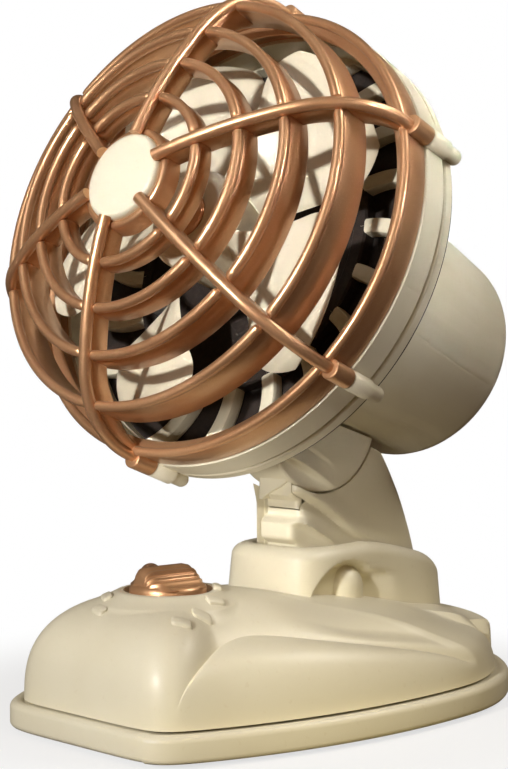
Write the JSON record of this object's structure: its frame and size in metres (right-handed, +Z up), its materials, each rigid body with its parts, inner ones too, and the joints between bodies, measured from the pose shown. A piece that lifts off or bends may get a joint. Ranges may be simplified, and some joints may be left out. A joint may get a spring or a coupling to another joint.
{
  "type": "usb mini desk fan",
  "caption": "Small desk fan with a domed ring grille head that tilts on a short neck over a long rounded base with a speed knob and a USB inlet.",
  "frame": {"origin": "on the desk, under the middle of the base's plan length and width", "axes": "+Z up, front of the fan towards -Y, +X to the fan's left hand (right in a front view)"},
  "size_m": [0.1032, 0.1238, 0.1548],
  "materials": {
    "ivory_plastic": "satin moulded ivory plastic",
    "bronze_plastic": "satin rose-gold metallic coat on plastic",
    "steel": "bright plated steel",
    "rubber": "matt non-slip",
    "fibre": "matt fibre washer",
    "black_plastic": "matt",
    "mesh": "fine dark woven mesh",
    "board": "solder mask",
    "bush_metal": "sintered",
    "magnet": "ferrite",
    "winding": "lacquered windings on an iron core"
  },
  "bodies": {
    "base": {"base_tray": "ivory_plastic", "foot_pad": "rubber", "base_shell": "ivory_plastic", "base_screws": "steel", "circuit_board": "board", "usb_socket": "steel", "usb_tongue": "black_plastic", "speed_switch": "black_plastic", "switch_nut": "steel", "neck_cowl": "ivory_plastic", "neck_bracket": "ivory_plastic", "neck_screws": "steel"},
    "knob": {"control_knob": "bronze_plastic", "switch_shaft": "steel"},
    "head": {"head_knuckle": "ivory_plastic", "tilt_pin": "steel", "friction_washers": "fibre", "knuckle_screws": "steel", "motor_housing": "ivory_plastic", "housing_screws": "steel", "rear_guard": "ivory_plastic", "intake_mesh": "mesh", "rear_ring": "ivory_plastic", "front_grille": "bronze_plastic", "clip_pins": "ivory_plastic", "hub_cap": "ivory_plastic", "motor_can": "steel", "motor_end_cap": "black_plastic", "motor_bushes": "bush_metal", "motor_magnets": "magnet", "motor_screws": "steel"},
    "rotor": {"motor_shaft": "steel", "motor_armature": "winding", "impeller": "ivory_plastic", "impeller_cap": "bronze_plastic"}
  },
  "joints": [
    {"name": "head_tilt", "type": "hinge", "parent": "base", "child": "head", "pos_m": [0, 0.0098, 0.0647], "axis": [1, 0, 0], "range_deg": [-4, 16]},
    {"name": "fan_spin", "type": "hinge", "parent": "head", "child": "rotor", "pos_m": [0, -0.01998, 0.10399], "axis": [0, -0.9361, 0.3518], "continuous": true},
    {"name": "knob_turn", "type": "hinge", "parent": "base", "child": "knob", "pos_m": [0, -0.0327, 0.025], "axis": [0, 0, 1], "range_deg": [-120, 0]}
  ]
}
